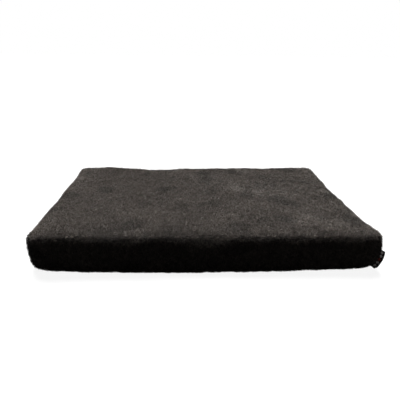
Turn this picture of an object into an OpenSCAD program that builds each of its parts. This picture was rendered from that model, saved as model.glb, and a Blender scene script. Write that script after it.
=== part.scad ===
// Pet cushion bed: a foam slab in a liner, inside a zipped box cover of plush.
// Millimetres. +X runs along the long side, +Y towards the zipped back, +Z up.
// The origin is the centre of the base, on the floor.

/* [Cushion] */
// Length of the long side, over the pile
body_w = 1000; // [800:10:1200]
// Length of the short side, over the pile
body_l = 700; // [600:10:900]
// Height, over the pile
body_h = 120; // [110:1:150]
// Thickness of the plush, backing and pile together
skin = 12; // [10:0.5:14]
// Rounding of the top edge, over the pile
top_edge_r = 22; // [16:1:30]
// How far the sides turn under the cushion to meet the base panel
turn_under = 20; // [14:1:24]
// Plan radius of a corner over most of its height
corner_r = 32; // [26:1:40]
// Plan radius of a corner at the floor, where the cover is tucked in
corner_foot_r = 58; // [52:1:60]

/* [Foam] */
// Thickness of the soft top layer of foam
comfort_h = 34; // [20:1:45]
// Thickness of the liner bag
liner_t = 0.8; // [0.5:0.1:1.2]

/* [Zip] */
// Height of the zip's centre line above the floor
zip_z = 55; // [48:1:58]
// Half the length of the opening that the zip closes
zip_half = 430; // [300:10:430]
// Height of the gap between the two back strips
zip_gap = 16; // [15:0.5:18]
// Length of the pull tab, from its pivot
pull_l = 28; // [20:1:30]

/* [Labels] */
// How far the folded label stands out of the front right corner seam
label_out = 20; // [12:1:24]
// Height of its upper corner above the floor
label_top = 70; // [62:1:90]
// How far its free edge hangs below its sewn edge
label_droop = 6; // [0:1:7]
// Width of the care label inside the cover
care_w = 36; // [24:1:60]
// Height of that label
care_h = 24; // [16:1:26]

/* [Hidden] */
$fn = 48;

half_w = body_w / 2;
half_l = body_l / 2;
seam_z = body_h - skin;      // underside of the top panel, where the sides are sewn to it
base_t = 2;                  // base fabric
lip_z = base_t + 1;          // inner height of the turned-under edge
cavity_r = 55;               // plan radius of the room inside the sides
corner_blend_z = 60;         // above this height a corner keeps corner_r
arc_steps = 5;               // straight pieces in half a corner
round_steps = 5;             // straight pieces in a rounded edge
turn_steps = 8 * arc_steps;  // straight pieces in a full turn

pile_t = 9;                  // thickness of a back strip where a tape is sewn behind it
tape_t = 0.8;
tape_w = 15.6;
tape_back = half_l - pile_t - tape_t;   // inner face of the tapes
rebate_h = 9.2;              // height over which a back strip overlaps its tape
coil_t = 2.4;
coil_w = 3.4;
coil_gap = 1.2;              // room for the slider's post between the two coils
coil_half = zip_half - 19;
stop_l = 4;
slider_size = [16, 13];      // along the zip, across it
slider_travel = 2 * (coil_half - slider_size[0] / 2 - 5);
slider_x = slider_travel / 2;
pin_r = 0.8;
pin_y = half_l - 3.6;        // distance of the pull's pivot from the cushion's middle
crown_w = 3;                 // the slider's arch, which holds the pull's pin
care_x = -300;
care_t = 0.4;
label_t = 1.6;
pull_w = 9;
pull_t = 1.6;

// ---- outline of the sides ----

// Plan radius of a corner's outer face at a height.
function outer_r(z) =
    corner_r + (corner_foot_r - corner_r) * pow(max(0, 1 - z / corner_blend_z), 2);

// How far in from the widest outline the outer face is at a height; 0 or less.
function inset(z) =
    z > body_h - top_edge_r
        ? sqrt(pow(top_edge_r, 2) - pow(z - body_h + top_edge_r, 2)) - top_edge_r
        : z < turn_under
            ? sqrt(pow(turn_under, 2) - pow(turn_under - z, 2)) - turn_under
            : 0;

// Heights of the outer face's points: round at the foot, upright, round towards the top seam.
foot_heights = [for (i = [0:round_steps]) turn_under * (1 - cos(90 * i / round_steps))];
side_heights = [for (i = [1:3]) turn_under + (corner_blend_z - turn_under) * i / 3];
crown_heights = [body_h - top_edge_r, (seam_z + body_h - top_edge_r) / 2, seam_z];

// A profile is two rows of [inset, height, plan radius], outer face and inner face, point for point.
function outer_row(heights) = [for (z = heights) [inset(z), z, outer_r(z)]];
function inner_row(heights) = [for (z = heights) [min(-skin, inset(z)), max(lip_z, z), cavity_r]];

full_heights = concat(foot_heights, side_heights, crown_heights);
full_profile = [outer_row(full_heights), inner_row(full_heights)];

upper_edge = zip_z + zip_gap / 2;
upper_heights = concat([upper_edge, upper_edge + 4, upper_edge + rebate_h], crown_heights);
upper_profile = [
    outer_row(upper_heights),
    concat(
        [[-pile_t, upper_edge, cavity_r], [-pile_t, upper_edge + rebate_h, cavity_r]],
        inner_row([upper_edge + rebate_h]),
        inner_row(crown_heights)
    )
];

lower_edge = zip_z - zip_gap / 2;
lower_heights = concat(foot_heights, [side_heights[0], lower_edge - 4, lower_edge]);
lower_profile = [
    outer_row(lower_heights),
    concat(
        inner_row(foot_heights),
        inner_row([lower_edge - rebate_h]),
        [[-pile_t, lower_edge - rebate_h, cavity_r], [-pile_t, lower_edge, cavity_r]]
    )
];

tab_heights = [lower_edge + 0.2, upper_edge - 0.2];
tab_profile = [outer_row(tab_heights), inner_row(tab_heights)];

// A point of a profile, turned to an angle round the corner on side [x sign, y sign].
function corner_point(p, corner, angle) = [
    corner[0] * (half_w + p[0] - p[2] + p[2] * cos(angle)),
    corner[1] * (half_l + p[0] - p[2] + p[2] * sin(angle)),
    p[1]
];

// One closed strip of the sides. Each ring is [corner, angle], or [corner, undef, x] on a straight run.
function ring_point(p, ring) =
    is_undef(ring[1])
        ? [ring[2], ring[0][1] * (half_l + p[0]), p[1]]
        : corner_point(p, ring[0], ring[1]);

module strip(profile, rings) {
    n = len(profile[0]);
    m = len(rings);
    points = [for (r = rings) each concat(
        [for (p = profile[0]) ring_point(p, r)],
        [for (p = profile[1]) ring_point(p, r)]
    )];
    function outer(r, i) = r * 2 * n + i;
    function inner(r, i) = r * 2 * n + n + i;
    skins = [for (r = [0:m - 2]) for (i = [0:n - 2]) each [
        [outer(r, i), outer(r + 1, i), outer(r + 1, i + 1)],
        [outer(r, i), outer(r + 1, i + 1), outer(r, i + 1)],
        [inner(r, i), inner(r + 1, i + 1), inner(r + 1, i)],
        [inner(r, i), inner(r, i + 1), inner(r + 1, i + 1)]
    ]];
    edges = [for (r = [0:m - 2]) each [
        [outer(r, 0), inner(r, 0), inner(r + 1, 0)],
        [outer(r, 0), inner(r + 1, 0), outer(r + 1, 0)],
        [outer(r, n - 1), inner(r + 1, n - 1), inner(r, n - 1)],
        [outer(r, n - 1), outer(r + 1, n - 1), inner(r + 1, n - 1)]
    ]];
    ends = [for (i = [0:n - 2]) each [
        [outer(0, i), outer(0, i + 1), inner(0, i + 1)],
        [outer(0, i), inner(0, i + 1), inner(0, i)],
        [outer(m - 1, i), inner(m - 1, i + 1), outer(m - 1, i + 1)],
        [outer(m - 1, i), inner(m - 1, i), inner(m - 1, i + 1)]
    ]];
    polyhedron(points = points, faces = concat(skins, edges, ends), convexity = 4);
}

// Rings from the seam in the middle of one corner to the seam in the middle of the next.
function half_corner(corner, from, to) =
    [for (i = [0:arc_steps]) [corner, from + (to - from) * i / arc_steps]];

module side_x(sign, profile)
    strip(profile, sign > 0
        ? concat(half_corner([1, -1], 45, 0), half_corner([1, 1], 0, 45))
        : concat(half_corner([-1, 1], 45, 0), half_corner([-1, -1], 0, 45)));

module side_y(sign, profile)
    strip(profile, sign > 0
        ? concat(half_corner([1, 1], 45, 90), half_corner([-1, 1], 90, 45))
        : concat(half_corner([-1, -1], 45, 90), half_corner([1, -1], 90, 45)));

// ---- blocks with rounded corners ----

module rounded_rectangle(w, l, r) {
    square([w - 2 * r, l], center = true);
    square([w, l - 2 * r], center = true);
    for (x = [-1, 1], y = [-1, 1])
        translate([x * (w / 2 - r), y * (l / 2 - r)]) circle(r);
}

module rounded_block(from_z, to_z, margin, r)
    translate([0, 0, from_z]) linear_extrude(to_z - from_z)
        rounded_rectangle(body_w - 2 * margin, body_l - 2 * margin, r);

// ---- cover ----

module top_panel() color("#4a433d") {
    levels = [for (i = [0:round_steps]) seam_z + skin * sin(90 * i / round_steps)];
    r = corner_r;
    hull() for (x = [-1, 1], y = [-1, 1])
        translate([x * (half_w - r), y * (half_l - r), 0])
            rotate_extrude($fn = turn_steps)
                polygon(concat(
                    [[0, seam_z]],
                    [for (z = levels) [r + inset(z), z]],
                    [[0, body_h]]
                ));
}

module front_panel() color("#3b3530") side_y(-1, full_profile);
module left_panel() color("#3b3530") side_x(-1, full_profile);
module right_panel() color("#3b3530") side_x(1, full_profile);
module back_upper_panel() color("#3b3530") side_y(1, upper_profile);
module back_lower_panel() color("#3b3530") side_y(1, lower_profile);

module base_panel() color("#1d1d1f") {
    edge = outer_row([0])[0];
    corners = [[1, 1, 0], [-1, 1, 1], [-1, -1, 0], [1, -1, 1]];
    linear_extrude(base_t) polygon([
        for (c = corners) for (i = [0:2 * arc_steps])
            let (p = corner_point(edge, c, 90 * abs(c[2] - i / (2 * arc_steps)))) [p[0], p[1]]
    ]);
}

// ---- zip ----

// Plush between the end of the zip and a corner seam.
module zip_end_tab(sign) color("#3b3530") {
    corner = [sign, 1];
    rings = concat([[corner, undef, sign * (zip_half + 1)]], half_corner(corner, 90, 45));
    last = len(rings) - 1;
    strip(tab_profile, sign < 0 ? rings : [for (i = [last:-1:0]) rings[i]]);
}
module zip_end_tab_left() zip_end_tab(-1);
module zip_end_tab_right() zip_end_tab(1);

// A bar along the zip, above its centre line for side 1 and below it for side -1.
module zip_bar(side, half, y, depth, z, height)
    translate([-half, y, zip_z + (side > 0 ? z : -z - height)]) cube([2 * half, depth, height]);

module zip_tape(side) color("#161618")
    zip_bar(side, zip_half - 1, tape_back, tape_t, coil_gap / 2, tape_w);
module zip_tape_upper() zip_tape(1);
module zip_tape_lower() zip_tape(-1);

module zip_coil(side) color("#202022")
    zip_bar(side, coil_half, tape_back + tape_t, coil_t, coil_gap / 2, coil_w);
module zip_coil_upper() zip_coil(1);
module zip_coil_lower() zip_coil(-1);

// A crimp over one coil's end.
module stop(x, side)
    translate([x, tape_back + tape_t, zip_z + side * (coil_gap / 2 + coil_w / 2) - coil_w / 2])
        cube([stop_l, coil_t + 0.4, coil_w]);

module zip_top_stops() color("#8a8a8c")
    for (side = [-1, 1]) stop(coil_half + 0.2, side);

module zip_bottom_stop() color("#8a8a8c")
    translate([-coil_half - 0.2 - stop_l, tape_back + tape_t, zip_z - coil_w - coil_gap / 2])
        cube([stop_l, coil_t + 0.4, 2 * coil_w + coil_gap]);

// The slider's plates lie inside and outside the coils and are joined by a post between them.
module zip_slider() color("#8f8f92") translate([slider_x, 0, zip_z]) {
    plate_l = slider_size[0];
    plate_w = slider_size[1];
    inner_y = tape_back - 1.7;
    outer_y = tape_back + tape_t + coil_t + 0.5;
    plate_t = 1.3;
    flange = [1.2, 2.4];
    translate([-plate_l / 2, inner_y, -plate_w / 2]) cube([plate_l, plate_t - 0.1, plate_w]);
    translate([-plate_l / 2, outer_y, -plate_w / 2]) cube([plate_l, plate_t, plate_w]);
    for (side = [-1, 1])
        translate([-plate_l / 2, outer_y - flange[1], side * (plate_w - flange[0]) / 2 - flange[0] / 2])
            cube([plate_l, flange[1], flange[0]]);
    translate([plate_l / 2 - 4, inner_y, -0.25]) cube([3.5, outer_y - inner_y + plate_t, 0.5]);
    slider_crown(outer_y + plate_t);
}

// The arch that holds the pull's pin.
module slider_crown(foot_y) {
    arch_l = 12;
    leg = 1.6;
    arch_h = half_l - 1 - foot_y;
    for (x = [-arch_l / 2, arch_l / 2 - leg])
        translate([x, foot_y, -crown_w / 2]) cube([leg, arch_h, crown_w]);
    translate([-arch_l / 2, half_l - 1 - 1.3, -crown_w / 2]) cube([arch_l, 1.3, crown_w]);
}

// The pull tab, lying flat along the closed coils. Its pin sits under the slider's crown.
module zip_pull() color("#9c9c9f") translate([slider_x, pin_y, zip_z]) {
    arm = (pull_w - 5) / 2;
    eye_l = 9;
    cylinder(r = pin_r, h = pull_w, center = true);
    difference() {
        union() {
            translate([-pull_l + pull_w / 2, -pull_t / 2, -pull_w / 2])
                cube([pull_l - pull_w / 2 - pin_r / 2, pull_t, pull_w]);
            translate([-pull_l + pull_w / 2, 0, 0])
                rotate([90, 0, 0]) cylinder(d = pull_w, h = pull_t, center = true);
        }
        translate([-eye_l, -pull_t, -pull_w / 2 + arm]) cube([eye_l, 2 * pull_t, pull_w - 2 * arm]);
        translate([-pull_l + pull_w / 2, 0, 0]) rotate([90, 0, 0]) cylinder(r = 1.6, h = 2 * pull_t, center = true);
    }
}

// ---- inside ----

liner_margin = skin + 1.5;
foam_margin = liner_margin + liner_t + 0.4;
liner_z = [lip_z + 0.5, seam_z - 0.5];
foam_z = [liner_z[0] + liner_t + 0.2, liner_z[1] - liner_t - 0.2];
inner_r = cavity_r - 1;

// A sewn bag, open along the back where the foam goes in.
module inner_liner() color("#d9d6cf") difference() {
    rounded_block(liner_z[0], liner_z[1], liner_margin, inner_r);
    rounded_block(liner_z[0] + liner_t, liner_z[1] - liner_t, liner_margin + liner_t, inner_r - liner_t);
    translate([-zip_half + 40, half_l - liner_margin - 10, zip_z - 12]) cube([2 * zip_half - 80, 20, 24]);
}

module comfort_foam() color("#e8ddb8")
    rounded_block(foam_z[1] - comfort_h, foam_z[1], foam_margin, inner_r - liner_t - 0.4);

module support_foam() color("#b9c4cc")
    rounded_block(foam_z[0], foam_z[1] - comfort_h, foam_margin, inner_r - liner_t - 0.4);

// ---- labels ----

// How far the outer face is from the square corner of the cushion, along the diagonal, at a height.
function seam_reach(z) = sqrt(2) * (inset(z) - outer_r(z)) + outer_r(z);

module woven_label() color("#0f0f10") {
    heights = concat([for (z = full_heights) if (z > 5 && z <= corner_blend_z) z], [label_top]);
    inner_edge = [for (z = heights) [seam_reach(z), z]];
    outer_edge = [for (i = [len(heights) - 1:-1:0]) inner_edge[i] + [label_out, -label_droop]];
    translate([half_w, -half_l, 0]) rotate([0, 0, -45]) rotate([90, 0, 0])
        linear_extrude(label_t, center = true) polygon(concat(inner_edge, outer_edge));
}

module care_label() color("#efefec")
    translate([care_x, half_l - skin - care_t, lower_edge - rebate_h - care_h - 1])
        cube([care_w, care_t, care_h]);

top_panel();
front_panel();
left_panel();
right_panel();
back_upper_panel();
back_lower_panel();
base_panel();
zip_end_tab_left();
zip_end_tab_right();
zip_tape_upper();
zip_tape_lower();
zip_coil_upper();
zip_coil_lower();
zip_top_stops();
zip_bottom_stop();
zip_slider();
zip_pull();
inner_liner();
comfort_foam();
support_foam();
woven_label();
care_label();
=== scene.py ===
"""Looks for the pet cushion bed: plush cover with real pile, zip, labels, liner and foam.

Metres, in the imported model's frame: +X to the right, +Y towards the zipped back, +Z up, the floor at z = 0.
The cover is one closed skin of fabric, simulated as cloth that air blows up a little. It is then cut along
its seams into panels, each a closed sheet of its own, and pile is planted on every plush panel.
"""
import math
import bpy
import numpy as np
from mathutils import Matrix, Vector
from mathutils.bvhtree import BVHTree


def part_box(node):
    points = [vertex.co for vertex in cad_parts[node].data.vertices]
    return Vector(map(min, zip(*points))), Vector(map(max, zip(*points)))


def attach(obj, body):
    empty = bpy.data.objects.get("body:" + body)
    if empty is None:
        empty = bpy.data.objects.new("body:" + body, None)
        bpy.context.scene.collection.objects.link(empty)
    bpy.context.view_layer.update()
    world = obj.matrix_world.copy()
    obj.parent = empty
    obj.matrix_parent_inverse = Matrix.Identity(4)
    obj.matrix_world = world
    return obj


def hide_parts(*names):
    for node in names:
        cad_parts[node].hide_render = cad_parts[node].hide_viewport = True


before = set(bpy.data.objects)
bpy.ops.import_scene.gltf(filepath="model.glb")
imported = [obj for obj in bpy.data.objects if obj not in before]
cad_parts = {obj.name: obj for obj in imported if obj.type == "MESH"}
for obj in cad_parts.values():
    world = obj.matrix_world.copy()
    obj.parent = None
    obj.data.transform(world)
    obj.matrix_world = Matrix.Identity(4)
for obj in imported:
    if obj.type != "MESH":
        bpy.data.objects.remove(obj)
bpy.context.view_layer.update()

MM = 0.001

# ---- sizes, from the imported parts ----

HALF_W = -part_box("left_panel")[0].x
HALF_L = -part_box("front_panel")[0].y
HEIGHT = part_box("top_panel")[1].z
SEAM_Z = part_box("top_panel")[0].z
BASE_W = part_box("base_panel")[1].x
BASE_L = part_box("base_panel")[1].y
GAP_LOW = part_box("back_lower_panel")[1].z
GAP_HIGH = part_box("back_upper_panel")[0].z
TURN_UNDER = HALF_W - BASE_W
TAPE_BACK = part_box("zip_tape_upper")[0].y     # inner face of the zip's tapes
TAPE_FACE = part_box("zip_tape_upper")[1].y     # and the face that the coils are sewn to
ZIP_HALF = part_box("zip_tape_upper")[1].x
ZIP_Z = (GAP_LOW + GAP_HIGH) / 2
LINER_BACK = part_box("inner_liner")[1].y

# As part.scad has them.
TOP_EDGE_R = 22 * MM
CORNER_R = 32 * MM
CORNER_FOOT_R = 58 * MM
CORNER_BLEND_Z = 60 * MM

BACKING_SIDE = 4.5 * MM   # how far the fabric's backing lies inside the CAD's faces, at the sides
BACKING_TOP = 8 * MM      # and on top
PILE_BODY = 2.2 * MM    # the dense, matted root of the pile, on the backing
PILE_LENGTH = 9.5 * MM
CELL = 10 * MM          # size of the skin's cells while it is simulated
REFINE = 2              # each is then cut into this many, each way
EDGE_UNEVEN = 3 * MM    # how far the top edge wanders
FOOT_BOW = 18 * MM      # how much the front's foot bows out between its tucked corners
# Where a corner stands proud: its side along X and Y, its height, the bulge's reach over the height and
# along the sides, and how far it stands out.
PROUD_CORNERS = [
    (1, -1, 58 * MM, 62 * MM, 120 * MM, 15 * MM),
    (-1, -1, 104 * MM, 10 * MM, 40 * MM, 5 * MM),
]


# ---- smooth random fields ----

def waves(points, size, seed, count=28):
    """A smooth random field at points (..., 3), about -1 to 1, with features of about that size."""
    rng = np.random.default_rng(seed)
    direction = rng.normal(size=(count, 3))
    direction /= np.linalg.norm(direction, axis=1)[:, None]
    frequency = direction * (math.pi / size * rng.uniform(0.5, 1.5, count))[:, None]
    phase = rng.uniform(0, 2 * math.pi, count)
    total = np.zeros(points.shape[:-1])
    for k, p in zip(frequency, phase):
        total += np.cos(points @ k + p)
    return total / math.sqrt(count)


def smooth_step(t):
    t = np.clip(t, 0, 1)
    return t * t * (3 - 2 * t)


def unit(a):
    return a / np.maximum(np.linalg.norm(a, axis=-1), 1e-12)[..., None]


# ---- the skin's rest shape ----

def lattice(core_cells, corner_cells):
    """Lines across the skin: each one's place on the straight, -1 to 1, and tan of its angle at a corner."""
    corner = np.tan(np.linspace(math.pi / 4, 0, corner_cells + 1)[:-1])
    core = np.linspace(-1, 1, core_cells + 1)
    place = np.concatenate([-np.ones(corner_cells), core, np.ones(corner_cells)])
    tangent = np.concatenate([-corner, np.zeros(core_cells + 1), corner[::-1]])
    return place, tangent


LINES_X = lattice(round(2 * (HALF_W - CORNER_R) / CELL), 4)
LINES_Y = lattice(round(2 * (HALF_L - CORNER_R) / CELL), 4)


def inset(z):
    """How far in from the widest outline the outer face is at this height, as part.scad has it."""
    if z > HEIGHT - TOP_EDGE_R:
        return math.sqrt(TOP_EDGE_R ** 2 - (z - HEIGHT + TOP_EDGE_R) ** 2) - TOP_EDGE_R
    if z < TURN_UNDER:
        return math.sqrt(TURN_UNDER ** 2 - (TURN_UNDER - z) ** 2) - TURN_UNDER
    return 0.0


def corner_radius(z):
    if z > HEIGHT - TOP_EDGE_R:
        return CORNER_R + inset(z)
    return CORNER_R + (CORNER_FOOT_R - CORNER_R) * max(0.0, 1 - z / CORNER_BLEND_Z) ** 2


def field_grid(core_w, core_l, ring, profile):
    """The top or the base: a flat field that ends in a ring round it.

    profile turns a distance across the ring into a distance in plan and a height.
    """
    px, tx = (a[:, None] for a in LINES_X)
    py, ty = (a[None, :] for a in LINES_Y)
    d, e = tx * ring + 0 * ty, ty * ring + 0 * tx
    reach = np.maximum(np.abs(d), np.abs(e))
    length = np.maximum(np.hypot(d, e), 1e-12)
    plan, z = profile(reach)
    return np.stack([px * core_w + d / length * plan, py * core_l + e / length * plan, z], axis=-1)


def top_profile(reach):
    flat = CORNER_R - TOP_EDGE_R
    angle = np.maximum(reach - flat, 0) / TOP_EDGE_R
    plan = np.minimum(reach, flat) + TOP_EDGE_R * np.sin(angle)
    return plan, HEIGHT - TOP_EDGE_R + TOP_EDGE_R * np.cos(angle)


def side_grid(lines, along, out, levels):
    """One side, from the top seam down. It follows the axis along, and out is 1 or -1 on the other axis."""
    place, tangent = lines
    angle = np.arctan(tangent)
    rows = []
    half = (HALF_W, HALF_L)
    for z in levels:
        r = corner_radius(z)
        a, b = half[along] + inset(z) - r, half[1 - along] + inset(z) - r
        row = np.zeros((len(place), 3))
        row[:, along] = place * a + r * np.sin(angle)
        row[:, 1 - along] = out * (b + r * np.cos(angle))
        row[:, 2] = z
        rows.append(row)
    return np.stack(rows, axis=1)


seam_angle = math.acos((SEAM_Z - HEIGHT + TOP_EDGE_R) / TOP_EDGE_R)
top_ring = CORNER_R - TOP_EDGE_R + TOP_EDGE_R * seam_angle
upright = np.linspace(HEIGHT - TOP_EDGE_R, TURN_UNDER, 9)
foot = TURN_UNDER * (1 - np.cos(np.linspace(math.pi / 2, 0, 5)[1:]))
LEVELS = [SEAM_Z, *upright, *foot]
CORE_W, CORE_L = HALF_W - CORNER_R, HALF_L - CORNER_R

grids = {
    "top": field_grid(CORE_W, CORE_L, top_ring, top_profile),
    "front": side_grid(LINES_X, 0, -1, LEVELS),
    "back": side_grid(LINES_X, 0, 1, LEVELS),
    "left": side_grid(LINES_Y, 1, -1, LEVELS),
    "right": side_grid(LINES_Y, 1, 1, LEVELS),
    "base": field_grid(BASE_W - CORNER_FOOT_R, BASE_L - CORNER_FOOT_R, CORNER_FOOT_R,
                       lambda reach: (reach, 0 * reach)),
}


# ---- the skin as one closed cloth ----

def grid_faces(shape):
    n, m = shape
    corner = np.arange(n * m).reshape(n, m)
    quads = np.stack([corner[:-1, :-1], corner[1:, :-1], corner[1:, 1:], corner[:-1, 1:]], axis=-1)
    return quads.reshape(-1, 4)


def ring_quads(rings, around):
    """Quads between rings of points that are stacked one after the other."""
    k = np.arange(around)
    ring = np.arange(rings - 1)[:, None] * around
    after = (k + 1) % around
    quads = np.stack([ring + k, ring + after, ring + around + after, ring + around + k], axis=-1)
    return quads.reshape(-1, 4)


def mesh_object(name, points, faces, smooth=True):
    """A mesh object from arrays. faces is one array of quads or triangles, or a list of such arrays."""
    groups = faces if isinstance(faces, list) else [faces]
    mesh = bpy.data.meshes.new(name)
    mesh.vertices.add(len(points))
    mesh.vertices.foreach_set("co", np.asarray(points, np.float32).ravel())
    sizes = np.concatenate([np.full(len(g), g.shape[1]) for g in groups])
    mesh.loops.add(int(sizes.sum()))
    mesh.loops.foreach_set("vertex_index", np.concatenate([g.ravel() for g in groups]).astype(np.int32))
    mesh.polygons.add(len(sizes))
    mesh.polygons.foreach_set("loop_start", np.concatenate([[0], np.cumsum(sizes)[:-1]]).astype(np.int32))
    mesh.polygons.foreach_set("use_smooth", np.full(len(sizes), smooth))
    mesh.update(calc_edges=True)
    obj = bpy.data.objects.new(name, mesh)
    bpy.context.scene.collection.objects.link(obj)
    return obj


def coordinates(mesh):
    co = np.empty(len(mesh.vertices) * 3, np.float32)
    mesh.vertices.foreach_get("co", co)
    return co.reshape(-1, 3).astype(float)


def normals(mesh):
    n = np.empty(len(mesh.vertices) * 3, np.float32)
    mesh.vertex_normals.foreach_get("vector", n)
    return n.reshape(-1, 3).astype(float)


def join_grids():
    """All the grids as one closed mesh's points and faces, and each grid's own indices into the points."""
    names = list(grids)
    stacked = np.concatenate([grids[k].reshape(-1, 3) for k in names])
    rounded = np.round(stacked * 1e5).astype(int)
    _, first, where = np.unique(rounded, axis=0, return_index=True, return_inverse=True)
    where = where.ravel()
    faces, index, start = [], {}, 0
    turned = ("front", "right", "base")
    for k in names:
        shape = grids[k].shape[:2]
        index[k] = where[start:start + shape[0] * shape[1]].reshape(shape)
        own = grid_faces(shape)
        faces.append(where[start + (own[:, ::-1] if k in turned else own)])
        start += shape[0] * shape[1]
    return stacked[first], np.concatenate(faces), index


def side_pull(points):
    """Pulls the sides in between the corners, bows the front's foot out and makes the edges uneven."""
    x, y, z = points.T
    along_x = np.cos(np.clip(x / HALF_W, -1, 1) * math.pi / 2) ** 0.7
    along_y = np.cos(np.clip(y / HALF_L, -1, 1) * math.pi / 2) ** 0.7
    side = np.clip(z / (20 * MM), 0, 1)
    moved = points.copy()
    moved[:, 0] -= np.sign(x) * (np.abs(x) / HALF_W) ** 6 * along_y * side * 5 * MM
    moved[:, 1] -= np.sign(y) * (np.abs(y) / HALF_L) ** 6 * along_x * side * np.where(y > 0, 0.8, 4) * MM
    foot = (1 - smooth_step(z / (50 * MM))) * np.where(y < 0, np.abs(y) / HALF_L, 0) ** 4
    moved[:, 1] -= foot * (FOOT_BOW * np.cos(x / HALF_W * math.pi / 2) - FOOT_BOW / 2)
    outer = np.maximum(np.abs(x) / HALF_W, np.abs(y) / HALF_L) > 0.8
    edge = np.exp(-((z - SEAM_Z) / (22 * MM)) ** 2) * outer
    uneven = edge * (EDGE_UNEVEN * waves(points * (1, 1, 0), 150 * MM, 12)
                     + 0.4 * EDGE_UNEVEN * waves(points * (1, 1, 0), 45 * MM, 13))
    moved[:, 1] += uneven * np.sign(y) * (np.abs(y) / HALF_L) ** 6
    moved[:, 2] += 0.8 * uneven
    for side_x, side_y, height, high, along, proud in PROUD_CORNERS:
        away = np.hypot(x - side_x * HALF_W, y - side_y * HALF_L)
        lift = proud * np.exp(-(away / along) ** 2) * np.exp(-((z - height) / high) ** 2)
        moved[:, 0] += side_x * 0.95 * lift
        moved[:, 1] += side_y * 0.3 * lift
    return moved


def simulate(skin, seams, base):
    """Blows the skin up a little, as the foam does, and lets the seams draw in. Returns its new points."""
    start = coordinates(skin.data)
    hold = skin.vertex_groups.new(name="hold")
    drawn = skin.vertex_groups.new(name="drawn")
    everywhere = np.arange(len(start))
    hold.add([int(i) for i in everywhere if not base[i]], 0.15, "REPLACE")
    hold.add([int(i) for i in everywhere if base[i]], 1.0, "REPLACE")
    slack = 0.35 + 0.25 * waves(start, 90 * MM, 11)
    for i in everywhere:
        drawn.add([int(i)], float(np.clip(1.0 if seams[i] else slack[i], 0, 1)), "REPLACE")
    cloth = skin.modifiers.new("Cloth", "CLOTH")
    s = cloth.settings
    s.quality = 4
    s.mass = 0.4
    s.tension_stiffness = s.compression_stiffness = 18
    s.shear_stiffness = 6
    s.bending_stiffness = 1.5
    s.vertex_group_mass = "hold"
    s.pin_stiffness = 1.0
    s.use_pressure = True
    s.uniform_pressure_force = 3
    s.vertex_group_shrink = "drawn"
    s.shrink_min = -0.015
    s.shrink_max = 0.025
    s.effector_weights.gravity = 0
    cloth.collision_settings.use_collision = False
    scene = bpy.context.scene
    cloth.point_cache.frame_start, cloth.point_cache.frame_end = 1, 20
    for f in range(1, 21):
        scene.frame_set(f)
    shown = skin.evaluated_get(bpy.context.evaluated_depsgraph_get())
    end = coordinates(shown.data)
    skin.modifiers.remove(cloth)
    scene.frame_set(1)
    move = end - start
    far = np.linalg.norm(move, axis=1)
    cap = 7 * MM
    return start + move * (np.minimum(far, cap * np.tanh(far / cap)) / np.maximum(far, 1e-9))[:, None]


def relax(grid, rounds):
    """Eases the sharpest creases out of a grid of points. Its edge stays."""
    grid = grid.copy()
    for _ in range(rounds):
        around = grid[:-2, 1:-1] + grid[2:, 1:-1] + grid[1:-1, :-2] + grid[1:-1, 2:]
        grid[1:-1, 1:-1] = 0.5 * grid[1:-1, 1:-1] + 0.125 * around
    return grid


def make_skin():
    """The simulated skin: each grid's points, then all its points, normals, faces and grid indices."""
    points, faces, index = join_grids()
    skin = mesh_object("skin", points, faces)
    n = normals(skin.data)
    depth = BACKING_SIDE * smooth_step(points[:, 2] / (25 * MM)) + 0.8 * MM
    depth += (BACKING_TOP - BACKING_SIDE) * smooth_step(n[:, 2])
    points = side_pull(points) - n * depth[:, None]
    points[:, 2] = np.maximum(points[:, 2], 0.8 * MM)
    skin.data.vertices.foreach_set("co", points.astype(np.float32).ravel())
    skin.data.update()
    seams = np.zeros(len(points), bool)
    for k in ("front", "back", "left", "right"):
        for edge in (index[k][0, 1:], index[k][-1, 1:], index[k][:, -1]):
            seams[edge] = True
    base = np.zeros(len(points), bool)
    base[index["base"]] = True
    points = simulate(skin, seams, base)
    points[index["top"]] = relax(points[index["top"]], 14)
    skin.data.vertices.foreach_set("co", points.astype(np.float32).ravel())
    skin.data.update()
    n = normals(skin.data)
    bpy.data.objects.remove(skin)
    return {k: points[i] for k, i in index.items()}, points, n, faces, index


skin, skin_points, skin_normals, skin_faces, skin_index = make_skin()


# ---- grids of points: finer, cut, and made into closed sheets ----

def refine_rows(grid, times):
    """The grid with each row of cells cut into this many, on a smooth curve through the old points."""
    p = np.concatenate([[2 * grid[0] - grid[1]], grid, [2 * grid[-1] - grid[-2]]])
    a, b, c, d = p[:-3], p[1:-2], p[2:-1], p[3:]
    steps = []
    for t in np.arange(times) / times:
        steps.append(0.5 * (2 * b + (c - a) * t + (2 * a - 5 * b + 4 * c - d) * t ** 2
                            + (3 * b - a - 3 * c + d) * t ** 3))
    fine = np.stack(steps, axis=1).reshape(-1, *grid.shape[1:])
    return np.concatenate([fine, grid[-1:]])


def refine(grid, times=REFINE):
    return refine_rows(refine_rows(grid, times).swapaxes(0, 1), times).swapaxes(0, 1)


def sample(grid, u, v):
    """Points between a grid's own, at these places counted in cells."""
    i = np.clip(np.floor(u).astype(int), 0, grid.shape[0] - 2)
    j = np.clip(np.floor(v).astype(int), 0, grid.shape[1] - 2)
    a, b = (u - i)[..., None], (v - j)[..., None]
    return ((1 - a) * (1 - b) * grid[i, j] + a * (1 - b) * grid[i + 1, j]
            + (1 - a) * b * grid[i, j + 1] + a * b * grid[i + 1, j + 1])


def crossing(grid, axis, value, along):
    """For each line of the grid, where along it the coordinate passes this value, in cells."""
    lines = grid[..., axis] if along == 1 else grid[..., axis].T
    cells = np.arange(lines.shape[1])
    rising = [(line, cells) if line[-1] > line[0] else (line[::-1], cells[::-1]) for line in lines]
    return np.array([np.interp(value, *pair) for pair in rising])


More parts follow.
